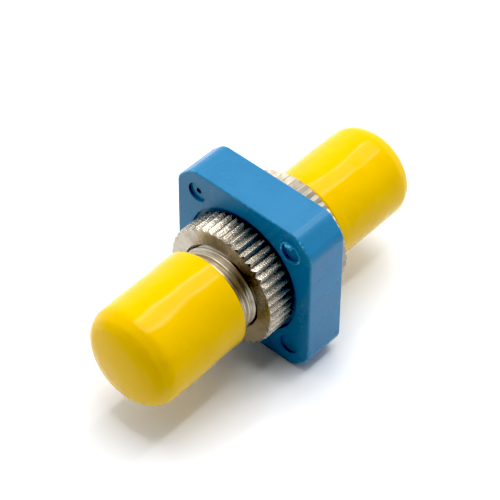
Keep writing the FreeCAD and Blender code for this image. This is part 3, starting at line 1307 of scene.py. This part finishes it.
@dataclass
class DustCap(Piece):
    """A dip-moulded cap: a soft cup with a rounded end and a rolled rim."""

    end: End
    outer_radius: float
    rim: float
    floor: float
    tip: float
    bore_radius: float = 4.8025
    end_round: Span = (3.5, 2.8)
    end_steps: int = 14
    crown_angle: float = 79.0
    crown_steps: int = 4
    rim_round: float = 0.36
    rim_steps: int = 5
    lip_round: float = 0.15
    lip_steps: int = 3
    floor_bevel: float = 1.2
    rows: int = 14
    facets: int = 112
    wave_depth: float = 0.12
    wave_size: float = 5.0
    sag: Triple = (0.0, 0.0, 0.0)

    def outline(self) -> Outline:
        """Draws the cap's section from the middle of its end, round its rim, to the middle of its floor.

        The end is crowned: a shallow parabola runs into the rounded shoulder at the crown angle.

        Returns:
            Radius and place along the axis of each point.
        """
        wide, long = self.end_round
        shoulder = self.tip - long
        crown = math.radians(self.crown_angle)
        reach = self.outer_radius - wide + wide * math.cos(crown)
        fall = reach / (2.0 * wide * math.tan(crown))
        height = long / (math.sin(crown) + fall)
        shares = [i / self.crown_steps for i in range(self.crown_steps)]
        points = [(reach * share, self.tip - fall * height * share**2) for share in shares]
        middle = (self.outer_radius - wide, shoulder)
        points += arc(middle, (wide, height), self.crown_angle, 0.0, self.end_steps)
        start = self.rim + self.rim_round
        shares = [i / self.rows for i in range(1, self.rows)]
        points += [(self.outer_radius, shoulder + (start - shoulder) * share) for share in shares]
        middle = (self.outer_radius - self.rim_round, start)
        points += arc(middle, (self.rim_round, self.rim_round), 0.0, -90.0, self.rim_steps)
        middle = (self.bore_radius + self.lip_round, self.rim + self.lip_round)
        points += arc(middle, (self.lip_round, self.lip_round), -90.0, -180.0, self.lip_steps)
        points += [(self.bore_radius, self.floor - self.floor_bevel)]
        points += [(self.bore_radius - self.floor_bevel, self.floor), (0.0, self.floor)]
        return points

    def wave(self, cap: Shape) -> None:
        """Draws the outer skin in here and there, in the slow waves of a dipped coat.

        Args:
            cap: The cap to change.
        """
        skin = cap.vertex_groups.new(name="skin")
        in_wall = (self.bore_radius + self.outer_radius) / 2.0
        in_end = (self.floor + self.tip) / 2.0
        for point in cap.data.vertices:
            if math.hypot(point.co.x, point.co.z) > in_wall or abs(point.co.y) > in_end:
                skin.add([point.index], 1.0, "REPLACE")
        clouds = bpy.data.textures.new("dip_waves", "CLOUDS")
        clouds.noise_scale = self.wave_size
        clouds.noise_depth = 0
        apply_modifier(
            cap, "DISPLACE", texture=clouds, strength=self.wave_depth, mid_level=1.0, vertex_group=skin.name
        )

    def droop(self, cap: Shape) -> None:
        """Lets the closed end hang a little from the part that grips the thread.

        Args:
            cap: The cap to change.
        """
        shoulder = self.tip - self.end_round[1]
        open_mesh(cap, Pick.POINTS)
        select_where(cap, Pick.POINTS, lambda at: abs(at[0].y) > shoulder)
        bpy.ops.transform.translate(
            value=self.sag,
            use_proportional_edit=True,
            proportional_edit_falloff="SMOOTH",
            proportional_size=shoulder - self.rim,
        )
        close_mesh()

    def model(self) -> Shape:
        """Models the cap.

        Returns:
            The cap in millimetres.
        """
        cap = turn_on_lathe("cap", towards(self.end, self.outline()), self.facets, False)
        self.wave(cap)
        self.droop(cap)
        return cap


@dataclass(frozen=True)
class SoftPanel:
    """A lamp behind a diffuser: a lit rectangle that faces down."""

    name: str
    centre: Triple
    size: Span
    brightness: float

    def build(self) -> None:
        """Hangs the lamp."""
        lamp = add_object(self.name, bpy.ops.object.light_add, type="AREA", location=self.centre).data
        lamp.shape = "RECTANGLE"
        lamp.size, lamp.size_y = self.size
        lamp.energy = self.brightness * math.pi * self.size[0] * self.size[1]


@dataclass
class Studio:
    """The plain room: a white floor, a lit frame overhead, pale walls and the camera. Sizes are in metres."""

    floor_height: float = -0.0094
    floor_size: float = 4.0
    lamp_height: float = 0.45
    lamp_across: Span = (-0.36, 0.22)
    lamp_along: Span = (-0.14, 0.78)
    panel_brightness: float = 2.4
    strip_width: float = 0.025
    strip_drop: float = 0.002
    left_brightness: float = 14.0
    right_brightness: float = 12.5
    near_brightness: float = 11.0
    wall_colour: str = "#E6E6E6"
    wall_brightness: float = 1.5
    dark_brightness: float = 0.02
    dark_side: Triple = (0.707, -0.707, 0.0)
    dark_span: Span = (0.1, 0.42)
    camera_place: Triple = (0.114499, -0.128383, 0.17834)
    camera_angles: Triple = (42.049, 45.897, 0.414)
    lens: float = 174.76
    sensor_width: float = 36.0
    nearest: float = 0.01
    film_black: float = 0.02
    film_white: float = 0.91

    def lay_floor(self) -> None:
        """Lays the floor under the flange."""
        place = (0.0, 0.0, self.floor_height)
        floor = add_object("floor", bpy.ops.mesh.primitive_plane_add, size=self.floor_size, location=place)
        settle()
        floor.data.materials.append(PaleFloor().material())

    def hang_lamps(self) -> None:
        """Hangs a wide panel with brighter strips along three of its edges."""
        left, right = (share * self.lamp_height for share in self.lamp_across)
        near, far = (share * self.lamp_height for share in self.lamp_along)
        x, y = (left + right) / 2.0, (near + far) / 2.0
        height = self.lamp_height - self.strip_drop
        wide, long = right - left, far - near
        upright = (self.strip_width, long)
        level = (wide, self.strip_width)
        lamps = [
            SoftPanel("lamp_panel", (x, y, self.lamp_height), (wide, long), self.panel_brightness),
            SoftPanel("lamp_left", (left, y, height), upright, self.left_brightness),
            SoftPanel("lamp_right", (right, y, height), upright, self.right_brightness),
            SoftPanel("lamp_near", (x, near, height), level, self.near_brightness),
        ]
        for lamp in lamps:
            lamp.build()

    def paint_walls(self) -> None:
        """Paints the walls pale, and dark behind the camera."""
        world = bpy.data.worlds.new("walls")
        world.use_nodes = True
        tree = world.node_tree
        tree.nodes.clear()
        look = add_node(tree, "ShaderNodeTexCoord").outputs["Generated"]
        frontness = add_node(tree, "ShaderNodeVectorMath", [look, self.dark_side], operation="DOT_PRODUCT")
        brightness = add_node(
            tree,
            "ShaderNodeMapRange",
            [frontness.outputs["Value"], *self.dark_span, self.wall_brightness, self.dark_brightness],
        )
        walls = add_node(
            tree,
            "ShaderNodeBackground",
            {"Color": linear(self.wall_colour), "Strength": brightness.outputs["Result"]},
        )
        add_node(tree, "ShaderNodeOutputWorld", {"Surface": walls.outputs["Background"]})
        bpy.context.scene.world = world

    def point_camera(self) -> None:
        """Stands the camera where the photograph was taken."""
        azimuth, elevation, roll = (math.radians(a) for a in self.camera_angles)
        flat = Vector((math.sin(azimuth), -math.cos(azimuth), 0.0))
        back = flat * math.cos(elevation) + Vector((0.0, 0.0, math.sin(elevation)))
        level = Vector((math.cos(azimuth), math.sin(azimuth), 0.0))
        upright = back.cross(level)
        right = math.cos(roll) * level + math.sin(roll) * upright
        up = math.cos(roll) * upright - math.sin(roll) * level
        camera = add_object("camera", bpy.ops.object.camera_add, location=self.camera_place)
        camera.rotation_euler = Matrix((right, up, back)).transposed().to_euler()
        camera.data.sensor_width = self.sensor_width
        camera.data.lens = self.lens
        camera.data.clip_start = self.nearest
        bpy.context.scene.camera = camera

    def load_film(self) -> None:
        """Gives the picture the photograph's deep blacks and clear whites."""
        film = bpy.context.scene.view_settings
        film.view_transform = "Standard"
        film.use_curve_mapping = True
        film.curve_mapping.black_level = (self.film_black,) * 3
        film.curve_mapping.white_level = (self.film_white,) * 3
        film.curve_mapping.update()

    def build(self) -> None:
        """Builds the room round the object."""
        self.lay_floor()
        self.hang_lamps()
        self.paint_walls()
        self.point_camera()
        self.load_film()


def list_pieces() -> list[Piece]:
    """Lists all of the adapter's pieces.

    Returns:
        The pieces in the order they are built.
    """
    turned = NickelPlate()
    knurled = NickelPlate("knurled_nickel", roughness=(0.22, 0.32), machining=Machining.KNURLED)
    satin = NickelPlate("satin_nickel", roughness=(0.5, 0.6), machining=Machining.KNURLED)
    vinyl = DippedVinyl()
    brass = BareBrass()
    root = "adapter"
    # The rear nut is duller than the front one, and its rim gets neither grime nor painted shade.
    without_grime_shade = {"crest_grime_shade": 0.02, "root_grime_shade": 0.05, "seat_shade": 0.0, "under_shade": 0.0}
    front_cap = {"outer_radius": 5.7025, "rim": 7.95, "floor": 19.7, "tip": 20.8, "sag": (0.12, 0.0, -0.16)}
    rear_cap = {"outer_radius": 5.3525, "rim": 6.7, "floor": 18.1, "tip": 19.2}
    pieces: list[Piece] = [
        Flange("flange", root, "flange_plastic", MouldedNylon()),
        Barrel("barrel", root, "nickel_barrel", turned),
        SplitSleeve("split_sleeve", root, "sleeve_ceramic", GroundCeramic()),
        KnurledNut("front_knurled_nut", "front_nut", "nickel_nut", knurled, End.FRONT, turn=1.65),
        KnurledNut("rear_knurled_nut", "rear_nut", "nickel_nut", satin, End.REAR, turn=1.0, **without_grime_shade),
        DustCap("front_dust_cap", "front_cap", "vinyl_cap", vinyl, End.FRONT, **front_cap),
        DustCap("rear_dust_cap", "rear_cap", "vinyl_cap", vinyl, End.REAR, **rear_cap),
    ]
    for end in End:
        pieces.append(SleeveHolder(f"{end.word}_sleeve_holder", root, "brass_holder", brass, end))
        for side in Side:
            name = f"{end.word}_{side.word}_bayonet_pin"
            pieces.append(BayonetPin(name, root, "nickel_pin", turned, end, side))
    return pieces


def main() -> None:
    """Builds the pieces in order and reports each one, then builds the room round them."""
    logging.basicConfig(level=logging.INFO, format="%(name)s %(message)s")
    for piece in list_pieces():
        dressed = piece.build()
        dressed.data.calc_loop_triangles()
        log.info("%s: %d triangles", dressed.name, len(dressed.data.loop_triangles))
    Studio().build()


if __name__ == "__main__":
    main()
